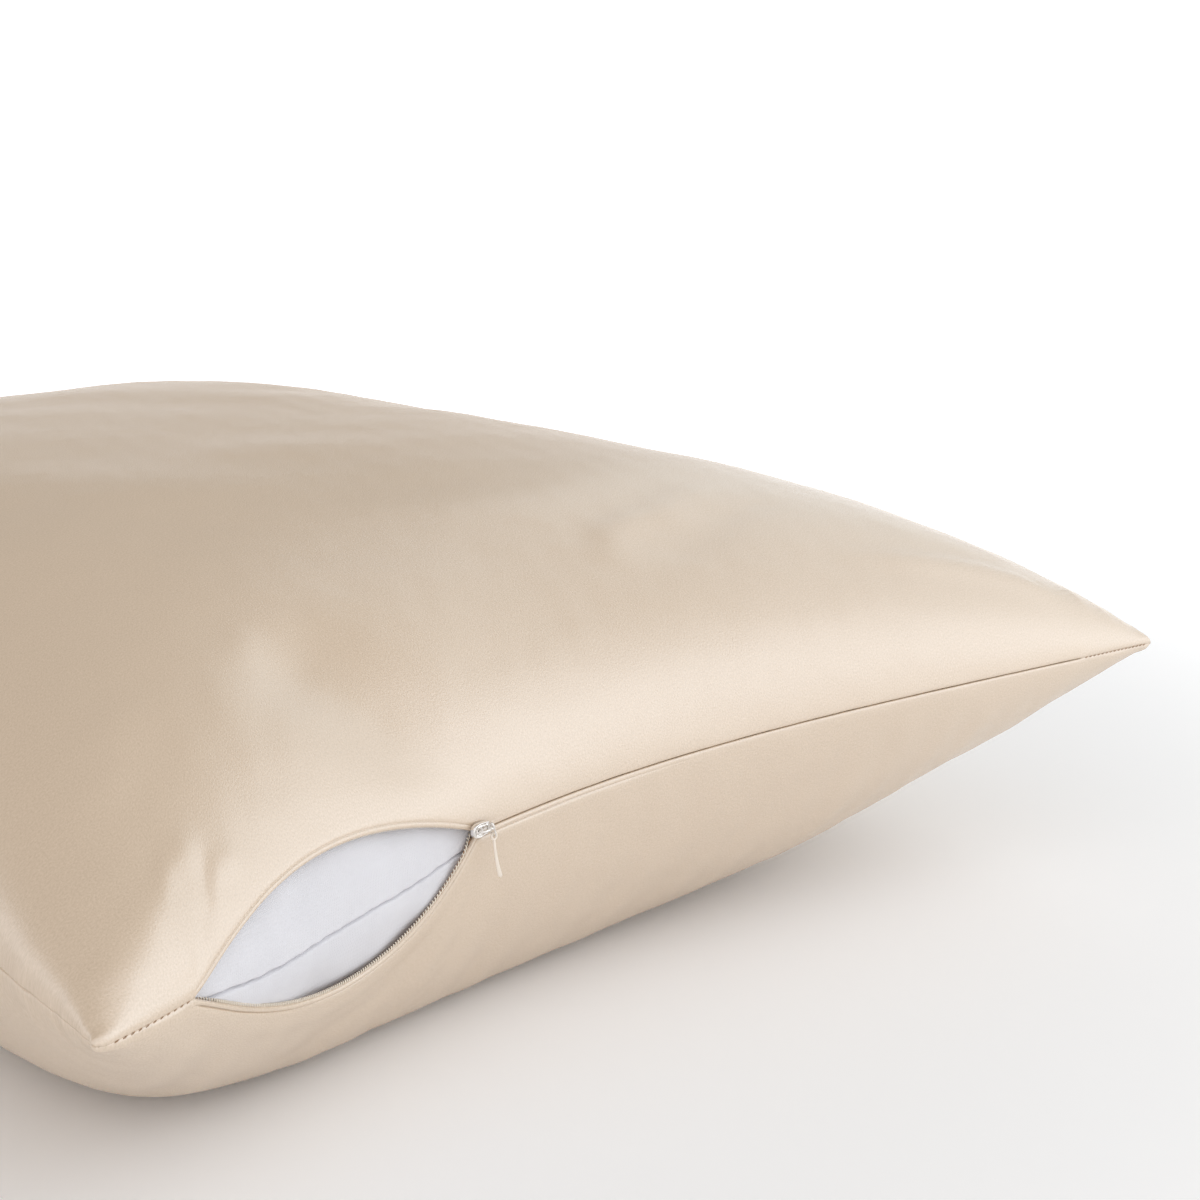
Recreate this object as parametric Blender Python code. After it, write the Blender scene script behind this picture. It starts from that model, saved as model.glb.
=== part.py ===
"""A satin pillowcase with a concealed zip in its short end, filled by a pillow.

Metres, +Z up. The zipped end faces -Y, the long sides run along Y, and the case
rests on the plane z = 0 with the middle of its outline over the origin.

Every cloth surface is read from one cushion form. A point on it has two shares,
u across the width and v along the length, each from -1 to 1. The two panels meet
on the seam where u or v is -1 or 1, and the crown and the belly swell from there.
"""

import bmesh
import bpy
import numpy as np
from mathutils import Matrix, Vector

# The filled case
WIDTH = 0.4884
LENGTH = 0.7144
SHEET = 0.0012
SEAM_GAP = 0.0003
HALF_WIDTH = WIDTH / 2 - SHEET
HALF_LENGTH = LENGTH / 2 - SHEET
SIDE_DRAW = 0.04  # share of the half width that the long sides pull in
END_DRAW = 0.11  # share of the half length that the short ends pull in
END_DRAW_POWER = 1.5
END_DRAW_LEAN = -0.86  # negative: the ends pull in most towards -X

# Heights of the seam line above the ground
SEAM_MIDDLE = 0.087
SEAM_FRONT_LEFT = 0.082
SEAM_FRONT_RIGHT = 0.095
SEAM_BACK = 0.071
SEAM_FRONT_LIFT = 0.0045
SEAM_FRONT_TILT = 0.015

# Height, fullness across, fullness along, roundness of the edge, swell towards the front left
CROWN = {"height": 0.080, "across": 4.0, "along": 3.4, "edge": 0.50, "swell": 0.165}
BELLY = {"height": -0.1055, "across": 2.45, "along": 3.3, "edge": 0.58, "swell": 0.60}
GROUND_EASE = 0.012  # how softly the belly rolls onto the ground

# Lengths along the zipped end, from the front left corner
SHORT_SEAM = 0.033
MOUTH = 0.130
ZIP_CLOSED = 0.287
SLIDER_FROM_MOUTH = 0.0003

# Each lip of the mouth: its rise as a share of the crown or belly, where the rise
# starts and ends steeply, and how far its peak leans towards the slider
UPPER_LIP = {"rise": 0.18, "start": 1.1, "end": 0.95, "lean": -0.23}
LOWER_LIP = {"rise": 0.21, "start": 1.15, "end": 1.1, "lean": 0.35}

# Zip
ZIP_MARGIN = 0.012  # share u by which tapes and coils stop short of the zip's two ends
TAPE_WIDTH = 0.007
TAPE_THICKNESS = 0.0010
TAPE_DEPTH = 0.0013
TAPE_SETBACK = 0.0022
COIL_RADIUS = 0.0007
COIL_DEPTH = 0.00135
COIL_SETBACK = 0.0009
COIL_PEEP = 0.0002

SLIDER_LENGTH = 0.0088
SLIDER_WIDTH = 0.0050
SLIDER_HEIGHT = 0.0020
SLIDER_BEVEL = 0.0008
SLIDER_CLEARANCE = 0.0007
SLIDER_NOSE = 0.62  # width of its front end as a share of its width
BRIDGE_RADIUS = 0.00045
BRIDGE_RISE = 0.0017
BRIDGE_START = -0.0012
BRIDGE_END = 0.0036
BRIDGE_SINK = 0.0006  # how deep its feet stand in the body
BRIDGE_CORNER = 0.0009
LINK_RADIUS = 0.0003
LINK_CLEARANCE = 0.0004
LINK_TOP = BRIDGE_RADIUS + LINK_RADIUS + LINK_CLEARANCE
LINK_WIDTH = 0.00215
LINK_LENGTH = 0.0056
LINK_STATION = 0.0016
LINK_LEAN = -0.22  # how far along the zip it stands for each length up it
EYE_RADIUS = 0.0015
EYE_HOLE_RADIUS = 0.00075
PULL_LENGTH = 0.0170
PULL_THICKNESS = 0.0007
PULL_NECK = 0.00045
PULL_BELLY = 0.00095
PULL_CURVE = 0.0026

# Pillow inside the case
PILLOW_GAP = 0.0022
PILLOW_INSET = 0.006

# Facets
COLUMNS = {"seam": 3, "mouth": 12, "closed": 9, "rest": 3}
ROWS = 24
ROUND_SIDES = 6

SATIN = (0.62, 0.51, 0.40, 1.0)
COTTON = (0.82, 0.81, 0.83, 1.0)
TAPE_COLOUR = (0.62, 0.50, 0.39, 1.0)
COIL_COLOUR = (0.70, 0.62, 0.52, 1.0)
METAL_COLOUR = (0.80, 0.77, 0.74, 1.0)


def clear_scene():
    for item in list(bpy.data.objects):
        bpy.data.objects.remove(item, do_unlink=True)


def make_material(name, colour, roughness, metallic=0.0):
    material = bpy.data.materials.new(name)
    material.use_nodes = True
    shader = material.node_tree.nodes["Principled BSDF"]
    shader.inputs["Base Color"].default_value = colour
    shader.inputs["Roughness"].default_value = roughness
    shader.inputs["Metallic"].default_value = metallic
    material.diffuse_color = colour
    return material


def seam_height(u, v):
    front = (1 - v) / 2
    right = (1 + u) / 2
    corner = front * (SEAM_FRONT_LEFT * (1 - right) + SEAM_FRONT_RIGHT * right)
    corner += (1 - front) * SEAM_BACK
    height = SEAM_MIDDLE + (corner - SEAM_MIDDLE) * u * u * v * v
    lift = SEAM_FRONT_LIFT + SEAM_FRONT_TILT * u
    return height + lift * (1 - u * u) * front * v * v


def plan(u, v, inset=0.0):
    """Where the shares u and v lie on the ground plan, for a form that much smaller."""
    x = (HALF_WIDTH - inset) * u * (1 - SIDE_DRAW * (1 - v * v))
    draw = END_DRAW * max(1 - u * u, 0.0) ** END_DRAW_POWER * (1 + END_DRAW_LEAN * u)
    return x, (HALF_LENGTH - inset) * v * (1 - draw)


def fullness(form, u, v):
    across = 1 - abs(u) ** form["across"]
    along = 1 - abs(v) ** form["along"]
    return max(across * along, 0.0) ** form["edge"]


def on_ground(z, ground):
    """z where it is well above the ground, the ground where it is well below, eased between."""
    depth = z - ground
    if depth > GROUND_EASE:
        return z
    if depth < -GROUND_EASE:
        return ground
    return ground + (depth + GROUND_EASE) ** 2 / (4 * GROUND_EASE)


def cloth_point(form, u, v, inset=0.0, thinner=0.0, parting=SEAM_GAP / 2):
    """A point of the panel's inner face, or of a smaller form inside it."""
    x, y = plan(u, v, inset)
    side = 1 if form is CROWN else -1
    swell = 1 + form["swell"] * (1 - u) * (1 - v) / 4
    rise = (form["height"] - side * thinner) * fullness(form, u, v) * swell
    z = seam_height(u, v) + side * parting + rise
    return Vector((x, y, on_ground(z, SHEET + thinner) if side < 0 else z))


def seam_shares(distances):
    """The share u at each distance along the zipped end from its left corner."""
    shares = np.linspace(-1.0, 1.0, 1601)
    line = np.array([cloth_point(CROWN, u, -1.0) for u in shares])
    steps = np.linalg.norm(np.diff(line, axis=0), axis=1)
    along = np.concatenate([[0.0], np.cumsum(steps)])
    return [float(np.interp(distance, along, shares)) for distance in distances]


MOUTH_START, MOUTH_END, SLIDER_AT, ZIP_END = seam_shares(
    [
        SHORT_SEAM,
        SHORT_SEAM + MOUTH,
        SHORT_SEAM + MOUTH + SLIDER_FROM_MOUTH,
        SHORT_SEAM + MOUTH + ZIP_CLOSED,
    ]
)


def turned(shares, count):
    """count even turns between two shares, which crowds the points towards -1 and 1."""
    turns = np.linspace(np.arcsin(shares[0]), np.arcsin(shares[1]), count + 1)
    return [float(np.sin(turn)) for turn in turns]


def eased(shares, count):
    """count steps between two shares, short at both ends and long in the middle."""
    start, end = shares
    ways = (1 - np.cos(np.linspace(0.0, np.pi, count + 1))) / 2
    return [float(start + (end - start) * way) for way in ways]


def column_shares():
    """Shares across the width, with a column at each end of the mouth and of the zip."""
    shares = turned((-1.0, MOUTH_START), COLUMNS["seam"])
    shares += eased((MOUTH_START, MOUTH_END), COLUMNS["mouth"])[1:]
    shares += turned((MOUTH_END, ZIP_END), COLUMNS["closed"])[1:]
    shares += turned((ZIP_END, 1.0), COLUMNS["rest"])[1:]
    return shares


def along_mouth(u, lean):
    """Share of the way from one end of the mouth to the other, or None outside it."""
    way = (u - MOUTH_START) / (MOUTH_END - MOUTH_START)
    if not 0.0 < way < 1.0:
        return None
    if lean == 0.0:
        return way
    # The lean stretches the way by a parabola, so this solves it back.
    root = ((1 + lean) ** 2 - 4 * lean * way) ** 0.5
    return ((1 + lean) - root) / (2 * lean)


def lip_rise(lip, u):
    """Share of the crown or belly at which the cloth starts at this column."""
    way = along_mouth(u, lip["lean"])
    if way is None:
        return 0.0
    start, end = lip["start"], lip["end"]
    peak = (start / (start + end)) ** start * (end / (start + end)) ** end
    return lip["rise"] * way**start * (1 - way) ** end / peak


def share_at_rise(form, u, rise):
    """The share v near the zipped end at which the form has risen by this share."""
    left = 1 - rise ** (1 / form["edge"]) / max(1 - abs(u) ** form["across"], 1e-9)
    return -(max(left, 0.0) ** (1 / form["along"]))


def mesh_object(name, points, faces, material):
    mesh = bpy.data.meshes.new(name)
    mesh.from_pydata([tuple(point) for point in points], [], faces)
    mesh.update()
    piece = bpy.data.objects.new(name, mesh)
    bpy.context.scene.collection.objects.link(piece)
    mesh.materials.append(material)
    mesh.shade_smooth()
    return piece


def grid_faces(columns, rows, flip):
    """Quads of a grid whose points run row by row inside each column."""
    faces = []
    for i in range(columns):
        for j in range(rows):
            first = i * (rows + 1) + j
            quad = (first, first + rows + 1, first + rows + 2, first + 1)
            faces.append(quad[::-1] if flip else quad)
    return faces


def thicken(piece, thickness, outward):
    solid = piece.modifiers.new("Thickness", "SOLIDIFY")
    solid.thickness = thickness
    solid.offset = 1.0 if outward else -1.0
    solid.use_rim = True


def make_panel(name, form, lip, material):
    """One panel of the case: a sheet on the form, starting at its lip of the mouth."""
    points = []
    columns = column_shares()
    for u in columns:
        first = share_at_rise(form, u, lip_rise(lip, u))
        for v in turned((first, 1.0), ROWS):
            points.append(cloth_point(form, u, v))
    faces = grid_faces(len(columns) - 1, ROWS, flip=form is BELLY)
    panel = mesh_object(name, points, faces, material)
    thicken(panel, SHEET, outward=True)


def make_pillow(material):
    """The filled pillow: one closed form whose two faces share their rim."""
    columns = column_shares()
    rows = turned((-1.0, 1.0), ROWS)
    points = []
    numbers = {}
    for form in (CROWN, BELLY):
        for i, u in enumerate(columns):
            for j, v in enumerate(rows):
                rim = abs(u) == 1.0 or j in (0, ROWS)
                key = (i, j) if rim else (i, j, form is CROWN)
                if key not in numbers:
                    numbers[key] = len(points)
                    points.append(cloth_point(form, u, v, PILLOW_INSET, PILLOW_GAP, 0.0))
    faces = []
    for upper in (True, False):

        def number(i, j):
            return numbers.get((i, j), numbers.get((i, j, upper)))

        for i in range(len(columns) - 1):
            for j in range(ROWS):
                quad = (number(i, j), number(i + 1, j), number(i + 1, j + 1), number(i, j + 1))
                faces.append(quad if upper else quad[::-1])
    mesh_object("pillow", points, faces, material)


def lip_frame(form, lip, u, further=0.0):
    """Point on a lip, the way into the panel along the cloth, and the way out of it."""
    rise = lip_rise(lip, u) + further / abs(form["height"])
    step = 0.004
    here = cloth_point(form, u, share_at_rise(form, u, rise))
    inwards = cloth_point(form, u, share_at_rise(form, u, rise + step)) - here
    beside = cloth_point(form, u + step, share_at_rise(form, u + step, rise)) - here
    outwards = beside.cross(inwards) if form is CROWN else inwards.cross(beside)
    return here, inwards.normalized(), outwards.normalized()


def zip_columns():
    """The panels' own columns along the zip, so that tape and coil bend where they do."""
    start = MOUTH_START + ZIP_MARGIN
    end = ZIP_END - ZIP_MARGIN
    return [start] + [u for u in column_shares() if start < u < end] + [end]


def make_tape(name, form, lip, material):
    """A woven tape behind one lip, along the mouth and the closed zip."""
    points = []
    across = 3
    shares = zip_columns()
    for u in shares:
        for k in range(across + 1):
            further = TAPE_SETBACK + TAPE_WIDTH * k / across
            here, _, outwards = lip_frame(form, lip, u, further)
            points.append(here - outwards * TAPE_DEPTH)
    faces = grid_faces(len(shares) - 1, across, flip=form is BELLY)
    tape = mesh_object(name, points, faces, material)
    thicken(tape, TAPE_THICKNESS, outward=False)


def tube_mesh(name, centres, radius, material, closed=False, sides=ROUND_SIDES):
    """A round tube along the centres, with its ends filled unless it is a ring."""
    points = []
    count = len(centres)
    side = Vector((0.0, 0.0, 1.0))
    for k, centre in enumerate(centres):
        before = centres[k - 1] if closed or k > 0 else centre
        after = centres[(k + 1) % count] if closed or k < count - 1 else centre
        along = (after - before).normalized()
        side = (side - along * side.dot(along)).normalized()
        other = along.cross(side)
        for turn in range(sides):
            angle = 2 * np.pi * turn / sides
            points.append(centre + radius * (side * np.cos(angle) + other * np.sin(angle)))
    faces = []
    for k in range(count if closed else count - 1):
        for turn in range(sides):
            a = k * sides + turn
            b = k * sides + (turn + 1) % sides
            c = (k + 1) % count * sides + (turn + 1) % sides
            d = (k + 1) % count * sides + turn
            faces.append((a, b, c, d))
    if not closed:
        faces.append(tuple(range(sides))[::-1])
        faces.append(tuple(range((count - 1) * sides, count * sides)))
    return mesh_object(name, points, faces, material)


def make_coil(name, form, lip, material):
    """The nylon coil on one tape's edge, as the round cord it reads as."""
    centres = []
    for u in zip_columns():
        here, inwards, outwards = lip_frame(form, lip, u)
        openness = min(1.0, 5 * lip_rise(lip, u) / lip["rise"])
        setback = COIL_SETBACK * (1 - openness) - COIL_PEEP * openness
        centres.append(here + inwards * setback - outwards * COIL_DEPTH)
    tube_mesh(name, centres, COIL_RADIUS, material)


def slider_frame():
    """Matrix from the slider's own axes, along the zip, up and out, to the case's."""
    here, _, _ = lip_frame(CROWN, UPPER_LIP, SLIDER_AT)
    ahead, _, _ = lip_frame(CROWN, UPPER_LIP, SLIDER_AT + 0.01)
    here = here - Vector((0.0, 0.0, SEAM_GAP / 2))
    along = (ahead - here).normalized()
    outwards = along.cross(Vector((0.0, 0.0, 1.0))).normalized()
    up = outwards.cross(along)
    frame = Matrix((along, up, outwards)).transposed().to_4x4()
    frame.translation = here
    return frame


def add_boolean(target, helper, operation):
    """Joins a hidden helper to the target, or cuts it out."""
    helper.hide_render = True
    helper.display_type = "WIRE"
    boolean = target.modifiers.new(operation.title(), "BOOLEAN")
    boolean.operation = operation
    boolean.object = helper


def make_slider(frame, material):
    """The slider's rounded body, and the bridge that holds the pull's link."""
    base = SHEET + SLIDER_CLEARANCE
    body = bmesh.new()
    bmesh.ops.create_cube(body, size=1.0)
    size = Matrix.Diagonal((SLIDER_LENGTH, SLIDER_WIDTH, SLIDER_HEIGHT, 1.0))
    place = Matrix.Translation((0.0, 0.0, base + SLIDER_HEIGHT / 2))
    body.transform(place @ size)
    for vertex in body.verts:
        if vertex.co.x > 0:
            vertex.co.y *= SLIDER_NOSE
    bmesh.ops.bevel(body, geom=list(body.edges), offset=SLIDER_BEVEL, segments=2, affect="EDGES")
    mesh = bpy.data.meshes.new("zip_slider")
    body.transform(frame)
    body.to_mesh(mesh)
    body.free()
    slider = bpy.data.objects.new("zip_slider", mesh)
    bpy.context.scene.collection.objects.link(slider)
    mesh.materials.append(material)
    mesh.shade_smooth()
    mesh.set_sharp_from_angle(angle=0.6)

    top = base + SLIDER_HEIGHT
    outline = [
        Vector((BRIDGE_START, 0.0, top - BRIDGE_SINK)),
        Vector((BRIDGE_START, 0.0, top + BRIDGE_RISE - BRIDGE_CORNER)),
        Vector((BRIDGE_START + BRIDGE_CORNER, 0.0, top + BRIDGE_RISE)),
        Vector((BRIDGE_END - BRIDGE_CORNER, 0.0, top + BRIDGE_RISE)),
        Vector((BRIDGE_END, 0.0, top + BRIDGE_RISE - BRIDGE_CORNER)),
        Vector((BRIDGE_END, 0.0, top - BRIDGE_SINK)),
    ]
    centres = [frame @ point for point in outline]
    bridge = tube_mesh("zip_bridge_helper", centres, BRIDGE_RADIUS, material, sides=8)
    add_boolean(slider, bridge, "UNION")


def link_middle():
    """Height over the seam at which the bridge's bar, the link and the eye are centred."""
    return SHEET + SLIDER_CLEARANCE + SLIDER_HEIGHT + BRIDGE_RISE


def link_point(up, out):
    """A point in the link's leaning plane, in the slider's own axes."""
    station = LINK_STATION + LINK_LEAN * (up - LINK_TOP)
    return Vector((station, up, link_middle() + out))


def make_link(frame, material):
    """The wire link: a long ring round the bridge's bar, hanging down from it."""
    half = LINK_WIDTH / 2
    turns = 8
    centres = []
    for end, height in enumerate((LINK_TOP - half, LINK_TOP + half - LINK_LENGTH)):
        for k in range(turns + 1):
            angle = np.pi * (end + k / turns)
            centres.append(frame @ link_point(height + half * np.sin(angle), half * np.cos(angle)))
    tube_mesh("zip_link", centres, LINK_RADIUS, material, closed=True)


def pull_outline(steps):
    """Half widths of the leaf at each step down from the eye."""
    rows = []
    for k in range(steps + 1):
        way = k / steps
        swell = PULL_NECK + (PULL_BELLY - PULL_NECK) * way**1.4
        tip = (1 - max(0.0, (way - 0.9) / 0.1) ** 2) ** 0.5
        rows.append((way, swell * max(tip, 0.25)))
    return rows


def make_pull(frame, material):
    """The pull: an eye on the link with a slim leaf hanging from it."""
    centre = link_point(LINK_TOP - LINK_LENGTH, 0.0)
    down = frame.to_3x3().inverted() @ Vector((0.0, 0.0, -1.0))
    down.z = 0.0
    down.normalize()
    across = Vector((-down.y, down.x, 0.0))
    outline = []
    turns = 14
    neck_angle = 0.42
    for k in range(turns + 1):
        angle = neck_angle + 2 * (np.pi - neck_angle) * k / turns
        outline.append(centre + EYE_RADIUS * (down * np.cos(angle) + across * np.sin(angle)))
    rows = pull_outline(10)
    start = EYE_RADIUS * 1.05

    def leaf(side, way, half):
        bend = PULL_CURVE * way * way
        return centre + down * (start + PULL_LENGTH * way) + across * (side * half + bend)

    outline += [leaf(-1, way, half) for way, half in rows]
    outline += [leaf(1, way, half) for way, half in reversed(rows)]
    mesh = bmesh.new()
    half_thickness = Vector((0.0, 0.0, PULL_THICKNESS / 2))
    front = [mesh.verts.new(frame @ (point + half_thickness)) for point in outline]
    back = [mesh.verts.new(frame @ (point - half_thickness)) for point in outline]
    mesh.faces.new(front)
    mesh.faces.new(back[::-1])
    for k in range(len(outline)):
        following = (k + 1) % len(outline)
        mesh.faces.new((front[k], back[k], back[following], front[following]))
    bmesh.ops.recalc_face_normals(mesh, faces=list(mesh.faces))
    data = bpy.data.meshes.new("zip_pull")
    mesh.to_mesh(data)
    mesh.free()
    pull = bpy.data.objects.new("zip_pull", data)
    bpy.context.scene.collection.objects.link(pull)
    data.materials.append(material)

    reach = Vector((0.0, 0.0, PULL_THICKNESS * 2))
    ends = [frame @ (centre - reach), frame @ (centre + reach)]
    drill = tube_mesh("zip_eye_helper", ends, EYE_HOLE_RADIUS, material, sides=12)
    add_boolean(pull, drill, "DIFFERENCE")


def main():
    clear_scene()
    satin = make_material("satin", SATIN, 0.38)
    cotton = make_material("white_cotton", COTTON, 0.85)
    tape = make_material("zip_tape", TAPE_COLOUR, 0.8)
    coil = make_material("zip_coil", COIL_COLOUR, 0.5)
    metal = make_material("zip_metal", METAL_COLOUR, 0.25, 1.0)

    make_panel("case_upper", CROWN, UPPER_LIP, satin)
    make_panel("case_lower", BELLY, LOWER_LIP, satin)
    make_pillow(cotton)
    make_tape("zip_tape_upper", CROWN, UPPER_LIP, tape)
    make_tape("zip_tape_lower", BELLY, LOWER_LIP, tape)
    make_coil("zip_coil_upper", CROWN, UPPER_LIP, coil)
    make_coil("zip_coil_lower", BELLY, LOWER_LIP, coil)
    frame = slider_frame()
    make_slider(frame, metal)
    make_link(frame, metal)
    make_pull(frame, metal)


main()
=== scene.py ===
"""The looks of a champagne satin pillowcase with a concealed zip, filled by a white pillow."""

import bpy
import numpy as np
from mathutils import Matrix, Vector


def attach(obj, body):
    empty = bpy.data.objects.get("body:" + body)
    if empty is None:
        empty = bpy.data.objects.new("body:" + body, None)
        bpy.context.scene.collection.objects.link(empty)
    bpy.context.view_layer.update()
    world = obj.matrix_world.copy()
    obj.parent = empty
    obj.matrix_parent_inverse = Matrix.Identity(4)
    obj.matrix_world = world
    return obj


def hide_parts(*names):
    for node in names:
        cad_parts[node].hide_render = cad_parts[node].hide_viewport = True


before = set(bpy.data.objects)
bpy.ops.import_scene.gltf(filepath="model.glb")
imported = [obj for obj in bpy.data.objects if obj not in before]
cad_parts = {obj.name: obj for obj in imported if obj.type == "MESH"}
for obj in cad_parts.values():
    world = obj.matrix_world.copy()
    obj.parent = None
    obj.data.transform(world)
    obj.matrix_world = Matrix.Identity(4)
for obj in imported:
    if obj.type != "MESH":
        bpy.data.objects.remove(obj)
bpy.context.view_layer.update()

# The filled case, as the CAD model has it
SHEET = 0.0012
SEAM_GAP = 0.0003
HALF_WIDTH = 0.4884 / 2 - SHEET
HALF_LENGTH = 0.7144 / 2 - SHEET
SIDE_DRAW = 0.04
END_DRAW = 0.11
END_DRAW_POWER = 1.5
END_DRAW_LEAN = -0.86
SEAM_MIDDLE = 0.087
SEAM_FRONT_LEFT = 0.082
SEAM_FRONT_RIGHT = 0.095
SEAM_BACK = 0.071
SEAM_FRONT_LIFT = 0.0045
SEAM_FRONT_TILT = 0.015
CROWN = {"height": 0.080, "across": 4.0, "along": 3.4, "edge": 0.50, "swell": 0.165}
BELLY = {"height": -0.1055, "across": 2.45, "along": 3.3, "edge": 0.58, "swell": 0.60}
GROUND_EASE = 0.012
SHORT_SEAM = 0.033
MOUTH = 0.130
ZIP_CLOSED = 0.287
SLIDER_FROM_MOUTH = 0.0003
UPPER_LIP = {"rise": 0.18, "start": 1.1, "end": 0.95, "lean": -0.23}
LOWER_LIP = {"rise": 0.21, "start": 1.15, "end": 1.1, "lean": 0.35}
PILLOW_GAP = 0.0022
PILLOW_INSET = 0.006

MM = 0.001


# ---------------------------------------------------------------- the cushion form


def seam_height(u, v):
    front = (1 - v) / 2
    right = (1 + u) / 2
    corner = front * (SEAM_FRONT_LEFT * (1 - right) + SEAM_FRONT_RIGHT * right)
    corner = corner + (1 - front) * SEAM_BACK
    height = SEAM_MIDDLE + (corner - SEAM_MIDDLE) * u * u * v * v
    lift = SEAM_FRONT_LIFT + SEAM_FRONT_TILT * u
    return height + lift * (1 - u * u) * front * v * v


def plan(u, v, inset=0.0):
    x = (HALF_WIDTH - inset) * u * (1 - SIDE_DRAW * (1 - v * v))
    draw = END_DRAW * np.clip(1 - u * u, 0, 1) ** END_DRAW_POWER * (1 + END_DRAW_LEAN * u)
    return x, (HALF_LENGTH - inset) * v * (1 - draw)


def fullness(form, u, v):
    across = 1 - np.abs(u) ** form["across"]
    along = 1 - np.abs(v) ** form["along"]
    return np.clip(across * along, 0, 1) ** form["edge"]


def on_ground(z, ground):
    depth = z - ground
    eased = ground + (depth + GROUND_EASE) ** 2 / (4 * GROUND_EASE)
    return np.where(depth > GROUND_EASE, z, np.where(depth < -GROUND_EASE, ground, eased))


def cloth(form, u, v, inset=0.0, thinner=0.0, parting=SEAM_GAP / 2):
    """Points of the panel's inner face, or of a smaller form inside it."""
    u, v = np.broadcast_arrays(np.asarray(u, float), np.asarray(v, float))
    x, y = plan(u, v, inset)
    side = 1 if form is CROWN else -1
    swell = 1 + form["swell"] * (1 - u) * (1 - v) / 4
    rise = (form["height"] - side * thinner) * fullness(form, u, v) * swell
    z = seam_height(u, v) + side * parting + rise
    if side < 0:
        z = on_ground(z, SHEET + thinner)
    return np.stack([x, y, z], axis=-1)


def seam_shares(distances):
    """The share u at each distance along the zipped end from its left corner."""
    shares = np.linspace(-1.0, 1.0, 1601)
    steps = np.linalg.norm(np.diff(cloth(CROWN, shares, -1.0), axis=0), axis=1)
    along = np.concatenate([[0.0], np.cumsum(steps)])
    return np.interp(distances, along, shares)


MOUTH_START, MOUTH_END, SLIDER_AT, ZIP_END = seam_shares(
    [
        SHORT_SEAM,
        SHORT_SEAM + MOUTH,
        SHORT_SEAM + MOUTH + SLIDER_FROM_MOUTH,
        SHORT_SEAM + MOUTH + ZIP_CLOSED,
    ]
)


def lip_rise(lip, u):
    """Share of the crown or belly at which the cloth starts at each u."""
    way = np.clip((u - MOUTH_START) / (MOUTH_END - MOUTH_START), 0.0, 1.0)
    lean = lip["lean"]
    way = ((1 + lean) - np.sqrt((1 + lean) ** 2 - 4 * lean * way)) / (2 * lean)
    way = np.clip(way, 0.0, 1.0)
    start, end = lip["start"], lip["end"]
    peak = (start / (start + end)) ** start * (end / (start + end)) ** end
    return lip["rise"] * way**start * (1 - way) ** end / peak


def share_at_rise(form, u, rise):
    """The share v near the zipped end at which the form has risen by this share."""
    left = 1 - rise ** (1 / form["edge"]) / np.maximum(1 - np.abs(u) ** form["across"], 1e-9)
    return -(np.clip(left, 0, 1) ** (1 / form["along"]))


def grid_normals(points, outward_up):
    """Unit normals of a grid of points, up for the upper panel and down for the lower."""
    normal = np.cross(np.gradient(points, axis=0), np.gradient(points, axis=1))
    normal /= np.linalg.norm(normal, axis=-1, keepdims=True) + 1e-12
    return normal if outward_up else -normal


# ---------------------------------------------------------------- mesh helpers


def link_object(name, mesh, material):
    piece = bpy.data.objects.new(name, mesh)
    bpy.context.scene.collection.objects.link(piece)
    mesh.materials.append(material)
    mesh.shade_smooth()
    return piece


def make_mesh(name, points, faces, material, uv=None):
    """An object from points and quads, with an optional map in metres from the points' uv."""
    mesh = bpy.data.meshes.new(name)
    mesh.from_pydata(np.asarray(points, float).reshape(-1, 3).tolist(), [], faces)
    mesh.update()
    if uv is not None:
        layer = mesh.uv_layers.new(name="cloth")
        corners = np.empty(len(mesh.loops), int)
        mesh.loops.foreach_get("vertex_index", corners)
        layer.data.foreach_set("uv", np.asarray(uv, float).reshape(-1, 2)[corners].ravel())
    return link_object(name, mesh, material)


def grid_quads(columns, rows, flip, wrap=False):
    """Quads over columns x rows points; wrap joins the last column to the first."""
    i = np.arange(columns if wrap else columns - 1)[:, None]
    j = np.arange(rows - 1)[None, :]
    following = (i + 1) % columns
    quads = np.stack(
        [i * rows + j, following * rows + j, following * rows + j + 1, i * rows + j + 1], axis=-1
    ).reshape(-1, 4)
    return (quads[:, ::-1] if flip else quads).tolist()


def frames_along(centres, closed=False, up=(0.0, 0.0, 1.0)):
    """Unit tangent, side and other side at each centre of a path."""
    centres = np.asarray(centres, float)
    if closed:
        along = np.roll(centres, -1, axis=0) - np.roll(centres, 1, axis=0)
    else:
        along = np.gradient(centres, axis=0)
    along /= np.linalg.norm(along, axis=1, keepdims=True)
    side = np.asarray(up, float)
    sides = []
    for step in along:
        side = side - step * side.dot(step)
        side = side / np.linalg.norm(side)
        sides.append(side)
    sides = np.array(sides)
    return along, sides, np.cross(along, sides)


def tube(name, centres, radius, material, closed=False, sides=12):
    """A round tube along a path; radius is one number or one for each centre."""
    centres = np.asarray(centres, float)
    radii = np.broadcast_to(np.asarray(radius, float), len(centres))[:, None, None]
    _, side, other = frames_along(centres, closed)
    turn = np.linspace(0, 2 * np.pi, sides, endpoint=False)[None, :, None]
    ring = side[:, None, :] * np.cos(turn) + other[:, None, :] * np.sin(turn)
    points = centres[:, None, :] + radii * ring
    count = len(centres)
    faces = []
    for k in range(count if closed else count - 1):
        for n in range(sides):
            a = k * sides + n
            b = k * sides + (n + 1) % sides
            c = (k + 1) % count * sides + (n + 1) % sides
            d = (k + 1) % count * sides + n
            faces.append((a, b, c, d))
    if not closed:
        faces.append(tuple(range(sides))[::-1])
        faces.append(tuple(range((count - 1) * sides, count * sides)))
    return make_mesh(name, points, faces, material)


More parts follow.
